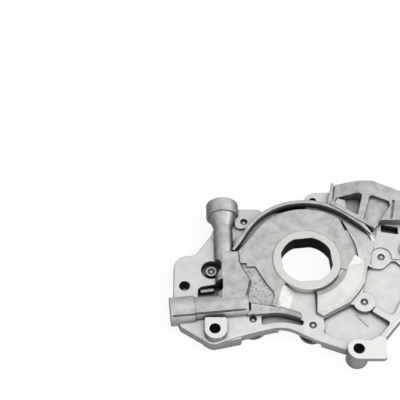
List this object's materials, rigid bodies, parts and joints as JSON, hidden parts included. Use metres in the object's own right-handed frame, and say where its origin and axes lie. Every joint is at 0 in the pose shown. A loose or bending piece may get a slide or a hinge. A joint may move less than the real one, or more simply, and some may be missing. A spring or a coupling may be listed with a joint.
{
  "type": "engine oil pump",
  "caption": "Crankshaft-driven gerotor oil pump for an engine: die-cast housing with pickup neck, gallery and relief tubes, rear cover plate, meshing rotors and spring-loaded relief valve.",
  "frame": {"origin": "on the crankshaft axis, in the plane of the engine block's machined face", "axes": "+Z along the crankshaft axis away from the engine; +Y towards the inlet neck and the open end of the gallery tube; +X towards the inlet side"},
  "size_m": [0.2077, 0.1642, 0.0266],
  "materials": {
    "cast_housing": "as die-cast, machined seats",
    "cover_steel": "ground flat",
    "screw_steel": "zinc plated",
    "dowel_steel": "ground",
    "rotor_steel": "sintered and ground",
    "piston_steel": "ground",
    "spring_steel": "drawn wire",
    "plug_steel": "zinc plated",
    "seal_rubber": "matt black"
  },
  "bodies": {
    "housing": {"pump_housing": "cast_housing", "cover_plate": "cover_steel", "cover_screws": "screw_steel", "cover_dowels": "dowel_steel", "relief_spring": "spring_steel", "relief_plug": "plug_steel", "relief_plug_seal": "seal_rubber", "gallery_plug": "plug_steel", "inlet_seal": "seal_rubber", "outlet_seal": "seal_rubber"},
    "inner_rotor": {"inner_rotor": "rotor_steel"},
    "outer_rotor": {"outer_rotor": "rotor_steel"},
    "relief_piston": {"relief_piston": "piston_steel"}
  },
  "joints": [
    {"name": "inner_rotor_spin", "type": "hinge", "parent": "housing", "child": "inner_rotor", "pos_m": [0, 0, 0], "axis": [0, 0, 1], "continuous": true},
    {"name": "outer_rotor_spin", "type": "hinge", "parent": "housing", "child": "outer_rotor", "pos_m": [0.00083, 0.00309, 0], "axis": [0, 0, 1], "continuous": true},
    {"name": "relief_piston_slide", "type": "slide", "parent": "housing", "child": "relief_piston", "axis": [-0.9951, -0.099, 0], "range_m": [0, 0.008], "stiffness_N_per_m": 600, "springref_m": -0.004, "deforming": ["relief_spring"]}
  ],
  "couplings": [
    {"joint": "outer_rotor_spin", "follows": "inner_rotor_spin", "ratio": 0.88889}
  ]
}
